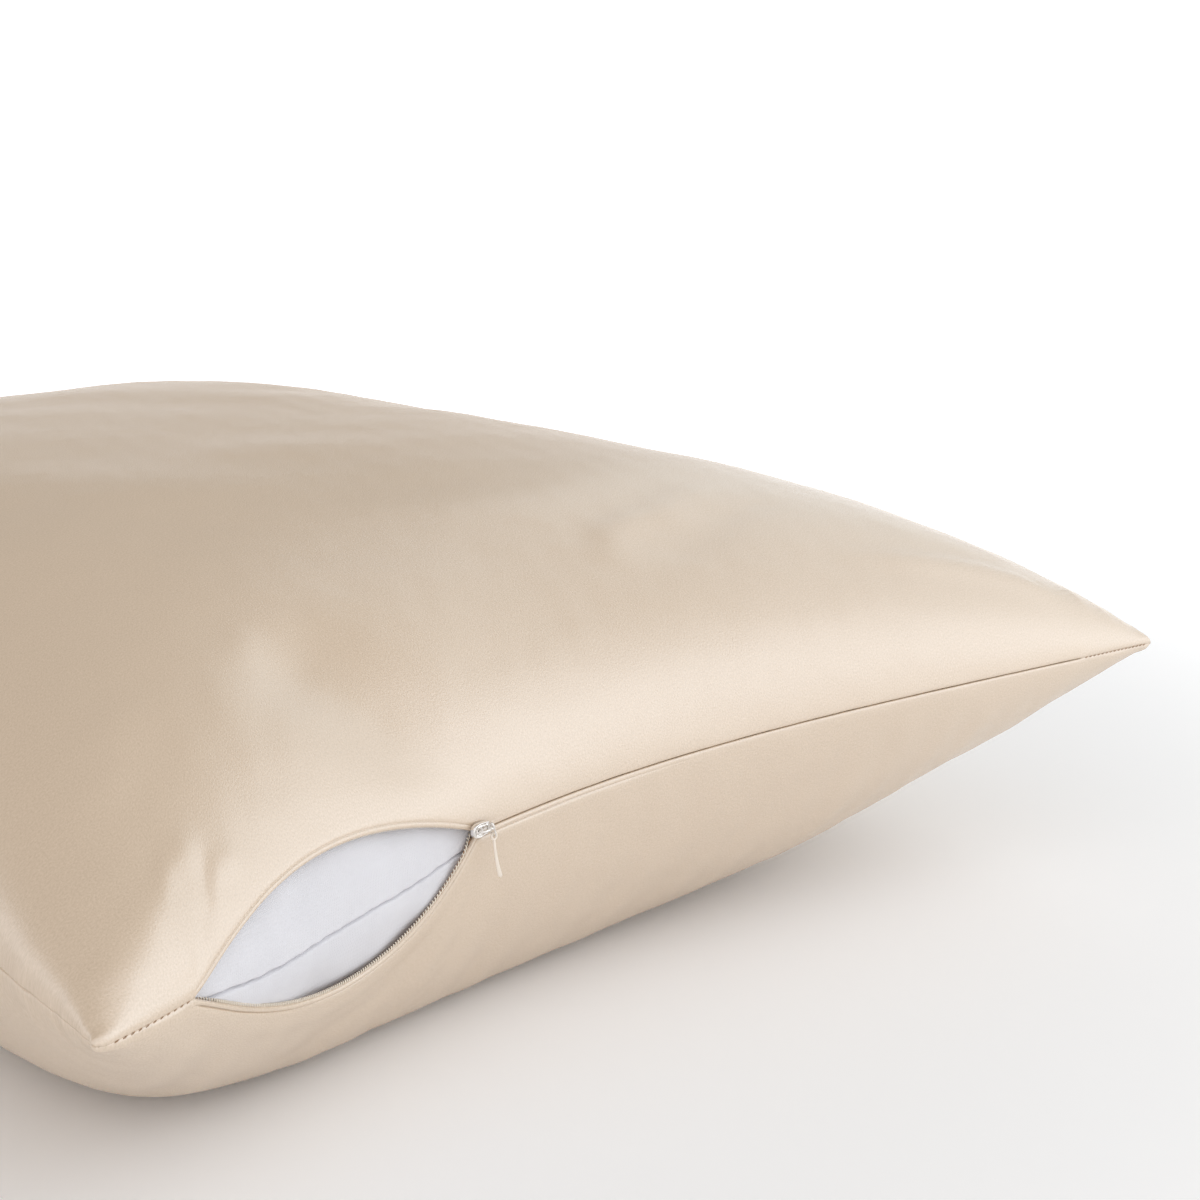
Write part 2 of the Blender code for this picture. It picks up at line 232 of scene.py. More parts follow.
def joined(name, pieces):
    """One object from several."""
    with bpy.context.temp_override(
        active_object=pieces[0], selected_editable_objects=pieces, object=pieces[0]
    ):
        bpy.ops.object.join()
    pieces[0].name = name
    pieces[0].data.name = name
    return pieces[0]


# ---------------------------------------------------------------- materials


def new_material(name):
    material = bpy.data.materials.new(name)
    material.use_nodes = True
    tree = material.node_tree
    return material, tree, tree.nodes["Principled BSDF"]


def add_node(tree, kind, **values):
    """A node whose inputs and properties are set by name."""
    node = tree.nodes.new(kind)
    for key, value in values.items():
        if hasattr(node, key):
            setattr(node, key, value)
        else:
            node.inputs[key.replace("_", " ")].default_value = value
    return node


def cloth_map(tree, scale):
    """The cloth's own map in metres, scaled."""
    uv = add_node(tree, "ShaderNodeUVMap", uv_map="cloth")
    mapping = add_node(tree, "ShaderNodeMapping")
    mapping.inputs["Scale"].default_value = scale
    tree.links.new(uv.outputs["UV"], mapping.inputs["Vector"])
    return mapping.outputs["Vector"]


def object_map(tree, scale=(1.0, 1.0, 1.0)):
    place = add_node(tree, "ShaderNodeTexCoord")
    mapping = add_node(tree, "ShaderNodeMapping")
    mapping.inputs["Scale"].default_value = scale
    tree.links.new(place.outputs["Object"], mapping.inputs["Vector"])
    return mapping.outputs["Vector"]


def blend_colours(tree, factor, first, second):
    mix = add_node(tree, "ShaderNodeMix", data_type="RGBA")
    mix.inputs["A"].default_value = first
    mix.inputs["B"].default_value = second
    tree.links.new(factor, mix.inputs["Factor"])
    return mix.outputs["Result"]


SATIN = (0.770, 0.612, 0.462, 1.0)
SATIN_DEEP = (0.500, 0.386, 0.272, 1.0)


def satin_material():
    """Silk satin: warm, with a broad gloss drawn out across the floating warp threads."""
    material, tree, shader = new_material("champagne_satin")
    shader.inputs["Roughness"].default_value = 0.27
    shader.inputs["IOR"].default_value = 2.5
    shader.inputs["Anisotropic"].default_value = 0.3
    tangent = add_node(tree, "ShaderNodeTangent", direction_type="UV_MAP", uv_map="cloth")
    tree.links.new(tangent.outputs["Tangent"], shader.inputs["Tangent"])

    slub = add_node(tree, "ShaderNodeTexNoise", Scale=1.0, Detail=3.0, Roughness=0.6)
    tree.links.new(cloth_map(tree, (1600.0, 1400.0, 1.0)), slub.inputs["Vector"])
    tree.links.new(
        blend_colours(tree, slub.outputs["Fac"], SATIN_DEEP, SATIN), shader.inputs["Base Color"]
    )

    grain = add_node(tree, "ShaderNodeTexNoise", Scale=1.0, Detail=2.0, Roughness=0.7)
    tree.links.new(cloth_map(tree, (1700.0, 1300.0, 1.0)), grain.inputs["Vector"])
    bump = add_node(tree, "ShaderNodeBump", Strength=0.45, Distance=0.00028)
    tree.links.new(grain.outputs["Fac"], bump.inputs["Height"])
    tree.links.new(bump.outputs["Normal"], shader.inputs["Normal"])
    return material


def cotton_material():
    """The pillow's white cover: a close plain weave, matt."""
    material, tree, shader = new_material("white_cotton")
    shader.inputs["Roughness"].default_value = 0.85
    shader.inputs["Sheen Weight"].default_value = 0.15
    shader.inputs["Sheen Roughness"].default_value = 0.6
    blotch = add_node(tree, "ShaderNodeTexNoise", Scale=1.0, Detail=3.0)
    tree.links.new(cloth_map(tree, (60.0, 60.0, 1.0)), blotch.inputs["Vector"])
    tree.links.new(
        blend_colours(tree, blotch.outputs["Fac"], (0.63, 0.62, 0.645, 1), (0.71, 0.70, 0.725, 1)),
        shader.inputs["Base Color"],
    )
    threads = []
    for direction in ("X", "Y"):
        wave = add_node(tree, "ShaderNodeTexWave", Scale=1.0, Distortion=1.5)
        wave.bands_direction = direction
        tree.links.new(cloth_map(tree, (420.0, 420.0, 1.0)), wave.inputs["Vector"])
        threads.append(wave.outputs["Fac"])
    weave = add_node(tree, "ShaderNodeMath", operation="MULTIPLY")
    tree.links.new(threads[0], weave.inputs[0])
    tree.links.new(threads[1], weave.inputs[1])
    bump = add_node(tree, "ShaderNodeBump", Strength=0.35, Distance=0.0002)
    tree.links.new(weave.outputs["Value"], bump.inputs["Height"])
    tree.links.new(bump.outputs["Normal"], shader.inputs["Normal"])
    return material


def thread_material(name, light, dark, roughness, scale):
    """Nylon, tape or sewing thread, with a fine grain of two tones."""
    material, tree, shader = new_material(name)
    shader.inputs["Roughness"].default_value = roughness
    grain = add_node(tree, "ShaderNodeTexNoise", Scale=scale, Detail=2.0)
    tree.links.new(object_map(tree), grain.inputs["Vector"])
    tree.links.new(
        blend_colours(tree, grain.outputs["Fac"], dark, light), shader.inputs["Base Color"]
    )
    bump = add_node(tree, "ShaderNodeBump", Strength=0.2, Distance=0.0001)
    tree.links.new(grain.outputs["Fac"], bump.inputs["Height"])
    tree.links.new(bump.outputs["Normal"], shader.inputs["Normal"])
    return material


def metal_material(name, colour, metallic, roughness):
    """Plated or lacquered metal, faintly worn."""
    material, tree, shader = new_material(name)
    shader.inputs["Metallic"].default_value = metallic
    shader.inputs["Base Color"].default_value = colour
    wear = add_node(tree, "ShaderNodeTexNoise", Scale=900.0, Detail=3.0)
    tree.links.new(object_map(tree), wear.inputs["Vector"])
    rough = add_node(tree, "ShaderNodeMapRange")
    rough.inputs["To Min"].default_value = roughness * 0.8
    rough.inputs["To Max"].default_value = roughness * 1.3
    tree.links.new(wear.outputs["Fac"], rough.inputs["Value"])
    tree.links.new(rough.outputs["Result"], shader.inputs["Roughness"])
    return material


# ---------------------------------------------------------------- the cloth's fine shape


def ripple(p, q, seed, shortest, longest, waves=20):
    """A smooth random surface of about unit height over the cloth's own lengths."""
    random = np.random.default_rng(seed)
    total = np.zeros(np.broadcast(p, q).shape)
    for _ in range(waves):
        length = random.uniform(shortest, longest)
        angle = random.uniform(0, 2 * np.pi)
        phase = random.uniform(0, 2 * np.pi)
        total = total + np.sin(
            2 * np.pi * (p * np.cos(angle) + q * np.sin(angle)) / length + phase
        )
    return total * (2 / waves) ** 0.5


def smooth(value, low, high):
    way = np.clip((value - low) / (high - low), 0, 1)
    return way * way * (3 - 2 * way)


def crease(p, q, start, end, width, depth, bend=0.0):
    """A soft trough, or a ridge if depth is positive, from one place on the cloth to another."""
    start, end = np.array(start), np.array(end)
    length = np.linalg.norm(end - start)
    along = (end - start) / length
    way = ((p - start[0]) * along[0] + (q - start[1]) * along[1]) / length
    off = -(p - start[0]) * along[1] + (q - start[1]) * along[0]
    off = off - bend * length * 4 * way * (1 - way)
    taper = smooth(way, -0.12, 0.25) * (1 - smooth(way, 0.55, 1.12))
    return depth * taper * np.exp(-((off / width) ** 2))


# Distance in from a panel's edge, and height over the panel there, in millimetres
UPPER_FOLD = ((0.0, -0.72), (0.2, -0.32), (0.5, -0.06), (0.9, 0.02), (1.4, -0.02), (1.6, -0.16))
UPPER_FOLD += ((1.75, -0.32), (1.9, -0.14), (2.3, 0.04), (3.2, 0.12), (4.6, 0.12), (7.0, 0.04), (10.0, 0.0))
LOWER_FOLD = ((0.0, -0.80), (0.2, -0.32), (0.5, -0.02), (0.9, 0.08), (1.4, 0.0), (1.6, -0.35))
LOWER_FOLD += ((1.75, -0.75), (1.9, -0.35), (2.2, 0.06), (2.8, 0.2), (3.8, 0.26), (5.4, 0.14), (8.0, 0.0))
ZIP_FOLD = ((0.0, -0.72), (0.2, -0.32), (0.5, -0.08), (0.9, 0.0), (1.8, 0.02), (10.0, 0.0))
PLAIN_SEAM = ((0.0, -0.85), (0.3, -0.42), (0.8, -0.12), (1.6, -0.02), (3.0, 0.0), (10.0, 0.0))
# The turned-in hem behind a lip: distance in, and height, in millimetres
HEM = ((5.5, -1.75), (3.0, -1.70), (1.2, -1.62), (0.35, -1.45), (0.08, -1.12))
EDGE_ROWS = (0.0, 0.2, 0.45, 0.8, 1.15, 1.4, 1.6, 1.75, 1.9, 2.15, 2.6, 3.2, 4.0, 5.0, 6.5, 8.5, 11.0)
SEAM_STEPS = (0.0, 0.4, 0.9, 1.5, 2.4, 3.6, 5.2, 7.4, 10.2, 13.8, 18.2, 23.5, 29.8, 37.0, 45.0)


def fold_height(profile, distance):
    table = np.array(profile) * MM
    return np.interp(distance, table[:, 0], table[:, 1])


def side_shares(form, limit):
    """Shares u up a long side, crowded at its seam, as far as the share limit."""
    rise = np.array(SEAM_STEPS) * MM / abs(form["height"])
    shares = (1 - rise ** (1 / form["edge"])) ** (1 / form["across"])
    last = np.linspace(shares[-1], limit, 3)[1:] if shares[-1] > limit else []
    return np.concatenate([shares[shares > limit + 0.006], last])


def panel_columns(form, mouth_count, closed_count):
    """Shares u of a panel's columns: crowded at the long seams, fine along the mouth."""
    left = -side_shares(form, -MOUTH_START)
    right = side_shares(form, ZIP_END)[::-1]
    mouth = seam_shares(SHORT_SEAM + MOUTH * np.linspace(0, 1, mouth_count + 1))
    closed = seam_shares(SHORT_SEAM + MOUTH + ZIP_CLOSED * np.linspace(0, 1, closed_count + 1))
    columns = np.concatenate([left[left < MOUTH_START - 1e-4], mouth, closed[1:], right])
    return np.unique(np.round(columns, 7))


def panel_rows(length, middle_count):
    """Distances from the zipped edge for columns of the given lengths."""
    front = np.array(EDGE_ROWS) * MM
    back = np.array(SEAM_STEPS[:7]) * MM
    t = np.linspace(0, 1, middle_count + 2)[1:-1]
    t = 0.4 * t + 0.6 * (1 - np.cos(np.pi * t)) / 2
    first, last = front[-1], length[:, None] - back[-1]
    middle = first + (last - first) * t
    fronts = np.broadcast_to(front, (len(length), len(front)))
    return np.concatenate([fronts, middle, length[:, None] - back[::-1]], axis=1)


def column_curves(form, lip, u):
    """For each column, the share v against the distance along the cloth from its lip."""
    first = share_at_rise(form, u, lip_rise(lip, u))
    turns = np.arcsin(first)[:, None] + (np.pi / 2 - np.arcsin(first))[:, None] * np.linspace(
        0, 1, 700
    )
    v = np.sin(turns)
    points = cloth(form, np.broadcast_to(u[:, None], v.shape), v)
    steps = np.linalg.norm(np.diff(points, axis=1), axis=-1)
    return v, np.concatenate([np.zeros((len(u), 1)), np.cumsum(steps, axis=1)], axis=1)


def upper_shape(p, q, side, back):
    """Creases and puckers of the upper panel, in metres over its plain form."""
    height = np.zeros(np.broadcast(p, q).shape)
    for start, end, width, depth, bend in UPPER_FOLDS:
        start, end = np.array(start) * MM, np.array(end) * MM
        near = FOLD_FREE[0] if width > 12 else FOLD_FREE[1] if width > 6 else FOLD_FREE[2]
        fold = crease(p, q, start, end, width * MM, depth * MM, bend)
        height = height + fold * smooth(q, 0.0, near) * smooth(side, 0.0, 0.5 * near)
    height = height + 0.00025 * ripple(p, q, 3, 0.05, 0.14) * smooth(q, 0.0, 0.08)
    height = height + 0.00005 * ripple(p, q, 4, 0.012, 0.03)
    return height


def lower_shape(p, q, side, back):
    """Creases and puckers of the lower panel, in metres over its plain form."""
    height = 0.0003 * ripple(p, q, 5, 0.05, 0.14) * smooth(q, 0.0, 0.08)
    height = height + 0.00006 * ripple(p, q, 6, 0.012, 0.03)
    fade = smooth(q, 0.004, 0.02) * (1 - smooth(q, 0.05, 0.12)) * smooth(side, 0.02, 0.05)
    for start, end, width, depth, bend in LOWER_FOLDS:
        start, end = np.array(start) * MM, np.array(end) * MM
        fold = crease(p, q, start, end, width * MM, depth * MM, bend)
        height = height + fold * smooth(q, 0.0025, 0.007) * smooth(side, 0.0, 0.010)
    return height + 0.0003 * ripple(p, 0.12 * q, 8, 0.011, 0.034, 10) * fade


def seam_puckers(distance, along, seed, reach=0.016, height=0.00022):
    """Small ripples that run in from a sewn seam."""
    wave = ripple(along, 0 * along, seed, 0.005, 0.011, 14)
    return height * wave * np.exp(-((distance / reach) ** 1.5)) * smooth(distance, 0.0, 0.0015)


# How far in from a lip the wide, middling and narrow folds reach their full height
FOLD_FREE = (0.020, 0.014, 0.005)
# Soft folds: start and end across the panel and in from its zipped edge,
# width and depth, all in millimetres, and bend
MOUTH_FOLDS = (
    ((-134, 74), (-92, 12), 22, -4.2, 0.00),
    ((-205, 60), (-190, 92), 12, 0.8, 0.00),
    ((-222, 45), (-180, 70), 20, -0.8, 0.05),
)
LEFT_CORNER_FOLDS = (
    ((-234, 9), (-206, 33), 6.5, 1.4, 0.03),
    ((-211, 32), (-192, 27), 5, 1.0, 0.12),
    ((-202, 8), (-193, 27), 3, -0.8, 0.00),
    ((-195, 19), (-180, 15), 4, 0.7, 0.05),
    ((-212, 3), (-224, 24), 3, -0.5, 0.06),
    ((-210, 3), (-202, 26), 3, -0.5, -0.06),
    ((-213, 3), (-232, 15), 3, -0.4, 0.05),
)
SHOULDER_FOLDS = (
    ((-20, 125), (150, 190), 35, 2.2, -0.05),
    ((16, 86), (78, 116), 8, 1.2, 0.05),
    ((38, 78), (98, 108), 7, -0.8, -0.04),
    ((58, 104), (112, 132), 7, 1.1, 0.05),
    ((26, 98), (70, 106), 5, 0.7, 0.08),
    ((82, 98), (130, 112), 5, -0.7, 0.05),
)
RIGHT_CORNER_FOLDS = (
    ((118, 62), (232, 10), 7, 1.9, 0.04),
    ((188, 42), (205, 12), 4, -0.7, 0.05),
    ((204, 36), (216, 9), 4, 0.5, 0.05),
    ((206, 2), (196, 20), 3, -0.4, 0.04),
    ((207, 2), (214, 18), 3, -0.4, -0.04),
)
UPPER_FOLDS = MOUTH_FOLDS + LEFT_CORNER_FOLDS + SHOULDER_FOLDS + RIGHT_CORNER_FOLDS
# The same for the lower panel
LOWER_FOLDS = (
    ((-196, 8), (-86, 6), 4, 0.5, 0.02),
    ((-92, 18), (-158, 48), 12, -1.2, 0.10),
    ((-79, 4), (-72, 30), 4, -0.4, 0.04),
    ((-70, 4), (-50, 34), 4, -0.3, 0.04),
    ((-212, 3), (-206, 20), 3, -0.4, 0.05),
    ((206, 2), (198, 16), 3, -0.4, 0.05),
    ((120, 16), (20, 60), 16, -1.0, 0.06),
)
CLOTH_THICKNESS = 0.0005
SEAM_PULL = 0.00042
ZIP_PULL = 0.00010


def make_panel(name, form, lip, profile, shape, material, mouth_count, closed_count, middle_count):
    """A panel of the case: its form, folds, seams and creases, and the hem behind its lip."""
    u = panel_columns(form, mouth_count, closed_count)
    v_curve, s_curve = column_curves(form, lip, u)
    length = s_curve[:, -1]
    rows = panel_rows(length, middle_count)
    hem_in = np.broadcast_to(np.array(HEM)[:, 0] * MM, (len(u), len(HEM)))
    q = np.concatenate([hem_in, rows], axis=1)
    v = np.stack([np.interp(q[k], s_curve[k], v_curve[k]) for k in range(len(u))])
    uu = np.broadcast_to(u[:, None], v.shape)
    base = cloth(form, uu, v)
    # The hem's rows turn back, so the normals come from the outer rows alone.
    hem = len(HEM)
    normals = grid_normals(base[:, hem:], form is CROWN)
    hem_normals = np.stack(
        [
            np.stack([np.interp(q[k, :hem], q[k, hem:], normals[k, :, axis]) for axis in range(3)], -1)
            for k in range(len(u))
        ]
    )
    normals = np.concatenate([hem_normals, normals], axis=1)

    p = HALF_WIDTH * uu
    side = abs(form["height"]) * np.clip(1 - np.abs(uu) ** form["across"], 0, 1) ** form["edge"]
    back = length[:, None] - q
    open_zip = smooth(uu, MOUTH_START - 0.004, MOUTH_START + 0.012)
    zipped = open_zip * (1 - smooth(uu, ZIP_END - 0.01, ZIP_END + 0.004))
    groove = 1 - smooth(uu, SLIDER_AT, SLIDER_AT + (0.04 if form is CROWN else 0.45))
    edge = groove * fold_height(profile, q) + (1 - groove) * fold_height(ZIP_FOLD, q)
    edge = zipped * edge + (1 - zipped) * fold_height(PLAIN_SEAM, q)
    seams = fold_height(PLAIN_SEAM, side) + fold_height(PLAIN_SEAM, back)
    seams = seams + seam_puckers(side, q, 11) + seam_puckers(back, p, 12)
    seams = seams + (1 - zipped) * seam_puckers(q, p, 13, 0.012)
    height = SHEET + edge + seams + shape(p, q, side, back)
    hem_height = SHEET + np.broadcast_to(np.array(HEM)[:, 1] * MM, (len(u), hem))
    height[:, :hem] = hem_height
    points = base + normals * height[..., None]
    nearest = np.minimum(np.minimum(side, back), np.where(zipped > 0.5, 1.0, np.abs(q)))
    pull = SEAM_PULL * np.exp(-((nearest / 0.0009) ** 2))
    closed = zipped * (1 - smooth(lip_rise(lip, uu), 0.0, 0.01))
    pull = pull + ZIP_PULL * closed * np.exp(-((q / 0.0008) ** 2))
    points[..., 2] += np.where(form is CROWN, -1, 1) * pull
    points[..., 2] = np.maximum(points[..., 2], 0.0)
    uv = np.stack([p, q * np.where(np.arange(q.shape[1]) < hem, -1, 1)], axis=-1)
    quads = grid_quads(len(u), q.shape[1], flip=form is not CROWN)
    panel = make_mesh(name, points, quads, material, uv)
    solid = panel.modifiers.new("Thickness", "SOLIDIFY")
    solid.thickness = CLOTH_THICKNESS
    solid.offset = -1.0
    return panel


PILLOW_EASE = 0.003
PILLOW_CLOSER = 0.0006
PILLOW_STEPS = (0, 0.12, 0.25, 0.4, 0.6, 0.85, 1.2, 1.7, 2.4, 3.3, 4.5, 6.0, 8.0, 10.5, 13.5, 17.0)
PILLOW_ROWS = 80


def pillow_shares():
    """Shares v of the pillow's rows, crowded at its seam in the mouth."""
    rise = np.array(PILLOW_STEPS) * MM / CROWN["height"]
    front = -((1 - rise ** (1 / CROWN["edge"])) ** (1 / CROWN["along"]))
    turns = np.linspace(np.arcsin(front[-1]), np.pi / 2, PILLOW_ROWS + 1)
    return np.concatenate([front, np.sin(turns[1:])])


def pillow_seam_drop(u):
    """How far the pillow's own seam hangs below the line of the zip, in metres."""
    way = (u - MOUTH_START) / (MOUTH_END - MOUTH_START)
    drop = 0.0030 + 0.0067 * smooth(way, -0.1, 0.35) - 0.0039 * smooth(way, 0.7, 1.05)
    return drop * smooth(way, -0.12, 0.0) * (1 - smooth(way, 1.05, 1.4))


def cloth_distance(form, lip, u, v):
    """Distance along the cloth from a panel's edge to each share v of each column u."""
    v_curve, s_curve = column_curves(form, lip, u)
    inside = [np.interp(v, v_curve[k], s_curve[k]) for k in range(len(u))]
    outside = [np.clip(v_curve[k, 0] - v, 0, None) * HALF_LENGTH for k in range(len(u))]
    return np.stack(inside), np.stack(outside)


def pillow_layer(form, uu, vv):
    """One face of the pillow: its form, its seam's groove and its soft wrinkles."""
    points = cloth(form, uu, vv, PILLOW_INSET - PILLOW_EASE, PILLOW_GAP - PILLOW_CLOSER, 0.0)
    normals = grid_normals(points, form is CROWN)
    rise = abs(form["height"]) * fullness(form, uu, vv)
    front = vv < 0
    along = HALF_WIDTH * uu
    height = 0.0004 * ripple(along, points[..., 1] + 1.5 * points[..., 2], 21, 0.02, 0.06)
    height = height * smooth(rise, 0.002, 0.014)
    height = height - 0.0016 * np.exp(-((rise / 0.00038) ** 2))
    height = height + 0.00016 * ripple(along, 0 * along, 22, 0.004, 0.009) * np.exp(-rise / 0.004)
    if form is CROWN:
        inside, _ = cloth_distance(form, UPPER_LIP, uu[:, 0], vv[0])
        side = abs(form["height"]) * np.clip(1 - np.abs(uu) ** 4, 0, 1) ** 0.5
        height = height + np.minimum(upper_shape(along, inside, side, 1.0), 0.0)
    if form is BELLY:
        lip = abs(form["height"]) * lip_rise(LOWER_LIP, uu)
        above = lip - rise
        recess = np.exp(-((np.clip(above, 0, None) / 0.0085) ** 2)) * smooth(lip, 0.002, 0.014)
        height = height - np.where(front, 0.0003 * recess, 0.0)
    else:
        lip = abs(form["height"]) * lip_rise(UPPER_LIP, uu)
        height = height + np.where(
            front, 0.0008 * np.exp(-(((rise - 0.6 * lip) / 0.006) ** 2)) * smooth(lip, 0.002, 0.01), 0
        )
    points = points + normals * height[..., None]
    reach = 0.016 if form is CROWN else 0.013
    points[..., 2] -= np.where(front, pillow_seam_drop(uu) * np.exp(-((rise / reach) ** 2)), 0.0)
    return points


def make_pillow(material):
    """The filled white pillow, closed, with its own sewn seam in the mouth."""
    u = panel_columns(CROWN, 96, 60)
    v = pillow_shares()
    uu, vv = np.meshgrid(u, v, indexing="ij")
    layers = [pillow_layer(form, uu, vv) for form in (CROWN, BELLY)]
    rows = len(v)
    i, j = np.meshgrid(np.arange(len(u)), np.arange(rows), indexing="ij")
    rim = (i == 0) | (i == len(u) - 1) | (j == 0) | (j == rows - 1)
    upper = (i * rows + j).ravel()
    inner = np.cumsum(~rim.ravel()) - 1
    lower = np.where(rim.ravel(), upper, len(u) * rows + inner)
    middle = (layers[0] + layers[1]) / 2
    layers[0][rim] = middle[rim]
    points = np.concatenate([layers[0].reshape(-1, 3), layers[1][~rim]])
    quads = np.array(grid_quads(len(u), rows, flip=False))
    faces = np.concatenate([upper[quads], lower[quads][:, ::-1]]).tolist()
    map_u, map_v = HALF_WIDTH * uu, HALF_LENGTH * vv
    flat = np.stack([map_u, map_v + np.abs(layers[0][..., 2] - SEAM_MIDDLE)], axis=-1)
    under = np.stack([map_u, map_v - np.abs(layers[1][..., 2] - SEAM_MIDDLE)], axis=-1)
    uv = np.concatenate([flat.reshape(-1, 2), under[~rim]])
    return make_mesh("pillow_body", points, faces, material, uv)


# ---------------------------------------------------------------- the zip


def lip_frames(form, lip, u, further=0.0):
    """Points on a lip, the ways into the panel along the cloth, and the ways out of it."""
    rise = lip_rise(lip, u) + further / abs(form["height"])
    step = 0.004
    here = cloth(form, u, share_at_rise(form, u, rise))
    inwards = cloth(form, u, share_at_rise(form, u, rise + step)) - here
    beside = cloth(form, u + step, share_at_rise(form, u + step, rise)) - here
    outwards = np.cross(beside, inwards) if form is CROWN else np.cross(inwards, beside)
    unit = lambda way: way / np.linalg.norm(way, axis=-1, keepdims=True)
    return here, unit(inwards), unit(outwards)


ZIP_MARGIN = 0.012
TAPE_WIDTH = 0.0075
TAPE_DEPTH = 0.0011
TAPE_CLOSER = 0.0006
COIL_PITCH = 0.00092
COIL_RADIUS = 0.00050
COIL_WIRE = 0.00020
COIL_TURN_POINTS = 8


def zip_shares(step):
    """Shares u along the whole zip at even distances."""
    margin = ZIP_MARGIN * HALF_WIDTH
    start, end = SHORT_SEAM + margin, SHORT_SEAM + MOUTH + ZIP_CLOSED - margin
    return seam_shares(np.linspace(start, end, int((end - start) / step) + 1))


def make_tape(name, form, lip, material):
    u = zip_shares(0.002)
    openness = smooth(5 * lip_rise(lip, u) / lip["rise"], 0, 1)
    strips = []
    for share in np.linspace(0, 1, 6):
        first = 0.0016 * openness - 0.0001 * (1 - openness)
        here, _, outwards = lip_frames(form, lip, u, first + (TAPE_WIDTH - first) * share)
        depth = TAPE_DEPTH - TAPE_CLOSER * (1 - openness) * (1 - share) ** 4
        strips.append(here - outwards * depth[:, None])
    points = np.stack(strips, axis=1)
    across = np.broadcast_to(np.linspace(0, TAPE_WIDTH, 6), points.shape[:2])
    uv = np.stack([HALF_WIDTH * np.broadcast_to(u[:, None], across.shape), across], axis=-1)
    tape = make_mesh(name, points, grid_quads(len(u), 6, form is BELLY), material, uv)
    solid = tape.modifiers.new("Thickness", "SOLIDIFY")
    solid.thickness = 0.0004
    solid.offset = -1.0
    return tape


def make_coil(name, form, lip, material, peep, sunk):
    """The nylon coil along one lip, wound turn by turn, peeping over it and sunk behind it."""
    u = zip_shares(COIL_PITCH / COIL_TURN_POINTS)
    here, inwards, outwards = lip_frames(form, lip, u)
    openness = smooth(5 * lip_rise(lip, u) / lip["rise"], 0, 1)[:, None]
    setback = 0.0009 * (1 - openness) - peep * openness
    middle = here + inwards * setback - outwards * (0.0021 * (1 - openness) + sunk * openness)
    angle = 2 * np.pi * np.arange(len(u)) / COIL_TURN_POINTS
    angle = angle[:, None]
    centres = middle + COIL_RADIUS * (inwards * np.cos(angle) * 1.15 + outwards * np.sin(angle) * 0.8)
    return tube(name, centres, COIL_WIRE, material, sides=5)


def slider_axes():
    """Origin, and the ways along the zip, up and out, of the slider."""
    here = cloth(CROWN, SLIDER_AT, -1.0, parting=0.0)
    ahead = cloth(CROWN, SLIDER_AT + 0.01, -1.0, parting=0.0)
    along = (ahead - here) / np.linalg.norm(ahead - here)
    outwards = np.cross(along, (0.0, 0.0, 1.0))
    outwards /= np.linalg.norm(outwards)
    up = np.cross(outwards, along)
    return here + SLIDER_UP * up, along, up, outwards


def in_slider(points):
    origin, along, up, out = slider_axes()
    points = np.asarray(points, float)
    return origin + points[..., :1] * along + points[..., 1:2] * up + points[..., 2:3] * out


SLIDER_LENGTH = 0.0088
SLIDER_WIDTH = 0.0054
SLIDER_HEIGHT = 0.0020
SLIDER_UP = 0.0018
SLIDER_BASE = SHEET + 0.0007
BRIDGE_MIDDLE = SLIDER_BASE + SLIDER_HEIGHT + 0.0017
LINK_TOP = 0.0023
LINK_WIDTH = 0.00215
LINK_LENGTH = 0.0050
PULL_LENGTH = 0.0136
PULL_LEAN = 0.0010
PULL_CURVE = 0.0018


# Share of the way out to the slider's rim, and share of its height
SLIDER_PROFILE = ((0.01, 1.0), (0.08, 1.0), (0.16, 1.0), (0.24, 1.0), (0.32, 1.0), (0.40, 1.0))
SLIDER_PROFILE += ((0.48, 1.0), (0.56, 1.0), (0.63, 1.0), (0.70, 1.0), (0.76, 1.0), (0.82, 1.0))
SLIDER_PROFILE += ((0.88, 1.0), (0.94, 0.96), (0.98, 0.86), (1.0, 0.68), (1.0, 0.35), (0.97, 0.1))
SLIDER_PROFILE += ((0.9, 0.0), (0.4, 0.0), (0.01, 0.0))


def make_slider(material):
    """The slider's rounded body with its raised rails, and the bridge over it."""
    turn = np.linspace(0, 2 * np.pi, 64, endpoint=False)
    profile = np.array(SLIDER_PROFILE)
    t, share = np.meshgrid(turn, profile[:, 0], indexing="ij")
    level = np.broadcast_to(profile[:, 1], t.shape)
    power = lambda value, exponent: np.sign(value) * np.abs(value) ** exponent
    x = power(np.cos(t), 0.75) * share * SLIDER_LENGTH / 2
    y = power(np.sin(t), 0.75) * share * SLIDER_WIDTH / 2
    y = y * (1 - 0.26 * (x / SLIDER_LENGTH + 0.5))
    hollow = np.exp(-(((x + 0.0019) / 0.0010) ** 4) - (y / 0.0009) ** 4)
    waist = np.exp(-(((share - 0.72) / 0.09) ** 2)) * (level > 0.9)
    z = SLIDER_BASE + SLIDER_HEIGHT * (level - 0.55 * hollow * (level > 0.5) - 0.14 * waist)
    body = make_mesh(
        "slider_body",
        in_slider(np.stack([x, y, z], -1)),
        grid_quads(64, len(profile), True, wrap=True),
        material,
    )
    way = np.linspace(0, np.pi, 17)
    middle, half = 0.0010, 0.0028
    arch = np.stack(
        [
            middle - half * power(np.cos(way), 0.6),
            0 * way,
            SLIDER_BASE + SLIDER_HEIGHT - 0.0004 + 0.0021 * power(np.sin(way), 0.6),
        ],
        -1,
    )
    bridge = tube("slider_bridge", in_slider(arch), 0.00045, material)
    return joined("zip_slider_body", [body, bridge])


